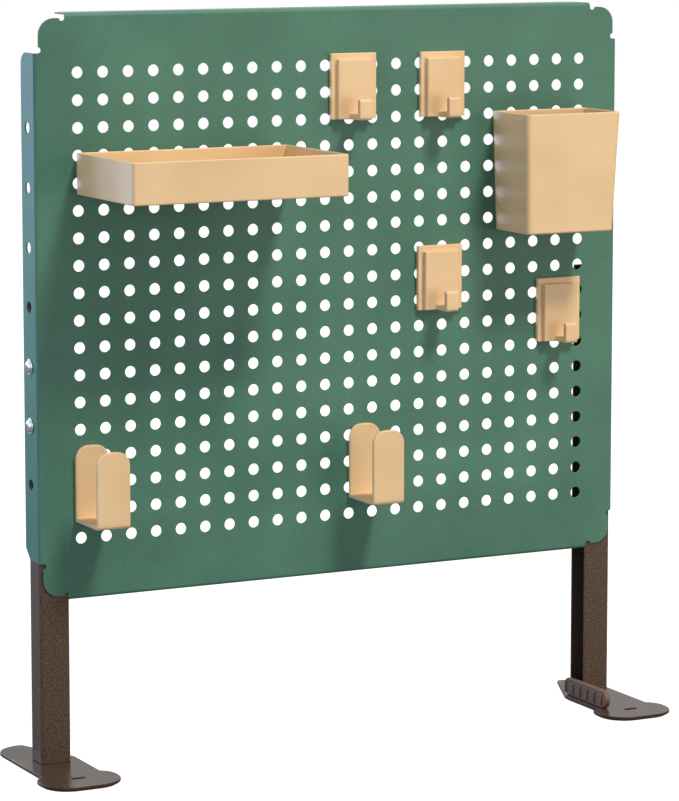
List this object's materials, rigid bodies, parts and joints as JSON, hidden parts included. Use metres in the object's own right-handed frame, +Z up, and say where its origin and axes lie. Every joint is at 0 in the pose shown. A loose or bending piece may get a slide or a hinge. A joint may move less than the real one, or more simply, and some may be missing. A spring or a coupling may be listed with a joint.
{
  "type": "desk pegboard organizer",
  "caption": "Free-standing perforated steel pegboard on two legs with foot plates, carrying a snap-in tray, pen cup, tablet brackets and hooks.",
  "frame": {"origin": "middle of the footprint on the desk, below the middle of the board", "axes": "+X along the board to the user's right, +Y away from the user, +Z up"},
  "size_m": [0.608, 0.19, 0.6355],
  "materials": {
    "powder_coat_green": "fine-textured powder coat on steel sheet, satin",
    "hammered_brown": "dark brown hammered powder coat on steel",
    "zinc_steel": "bright zinc-plated steel",
    "black_rubber": "matt rubber",
    "cream_abs": "moulded ABS, cream, satin"
  },
  "bodies": {
    "board": {"panel_face": "powder_coat_green", "left_flange": "powder_coat_green", "right_flange": "powder_coat_green", "top_flange": "powder_coat_green", "bottom_flange": "powder_coat_green", "left_leg": "hammered_brown", "left_leg_screws": "zinc_steel", "left_leg_nuts": "zinc_steel", "left_foot": "hammered_brown", "left_foot_pad": "black_rubber", "right_leg": "hammered_brown", "right_leg_screws": "zinc_steel", "right_leg_nuts": "zinc_steel", "right_foot": "hammered_brown", "right_foot_pad": "black_rubber", "right_heel_grip": "black_rubber"},
    "tray": {"tray": "cream_abs"},
    "pen_cup": {"pen_cup": "cream_abs"},
    "left_bracket": {"left_bracket": "cream_abs"},
    "right_bracket": {"right_bracket": "cream_abs"},
    "hook_1": {"hook_1": "cream_abs"},
    "hook_2": {"hook_2": "cream_abs"},
    "hook_3": {"hook_3": "cream_abs"},
    "hook_4": {"hook_4": "cream_abs"}
  },
  "joints": [
    {"name": "tray_pull_off", "type": "slide", "parent": "board", "child": "tray", "axis": [0, -1, 0], "range_m": [0, 0.06]},
    {"name": "cup_pull_off", "type": "slide", "parent": "board", "child": "pen_cup", "axis": [0, -1, 0], "range_m": [0, 0.06]},
    {"name": "left_bracket_pull_off", "type": "slide", "parent": "board", "child": "left_bracket", "axis": [0, -1, 0], "range_m": [0, 0.06]},
    {"name": "right_bracket_pull_off", "type": "slide", "parent": "board", "child": "right_bracket", "axis": [0, -1, 0], "range_m": [0, 0.06]},
    {"name": "hook_1_pull_off", "type": "slide", "parent": "board", "child": "hook_1", "axis": [0, -1, 0], "range_m": [0, 0.06]},
    {"name": "hook_2_pull_off", "type": "slide", "parent": "board", "child": "hook_2", "axis": [0, -1, 0], "range_m": [0, 0.06]},
    {"name": "hook_3_pull_off", "type": "slide", "parent": "board", "child": "hook_3", "axis": [0, -1, 0], "range_m": [0, 0.06]},
    {"name": "hook_4_pull_off", "type": "slide", "parent": "board", "child": "hook_4", "axis": [0, -1, 0], "range_m": [0, 0.06]}
  ]
}
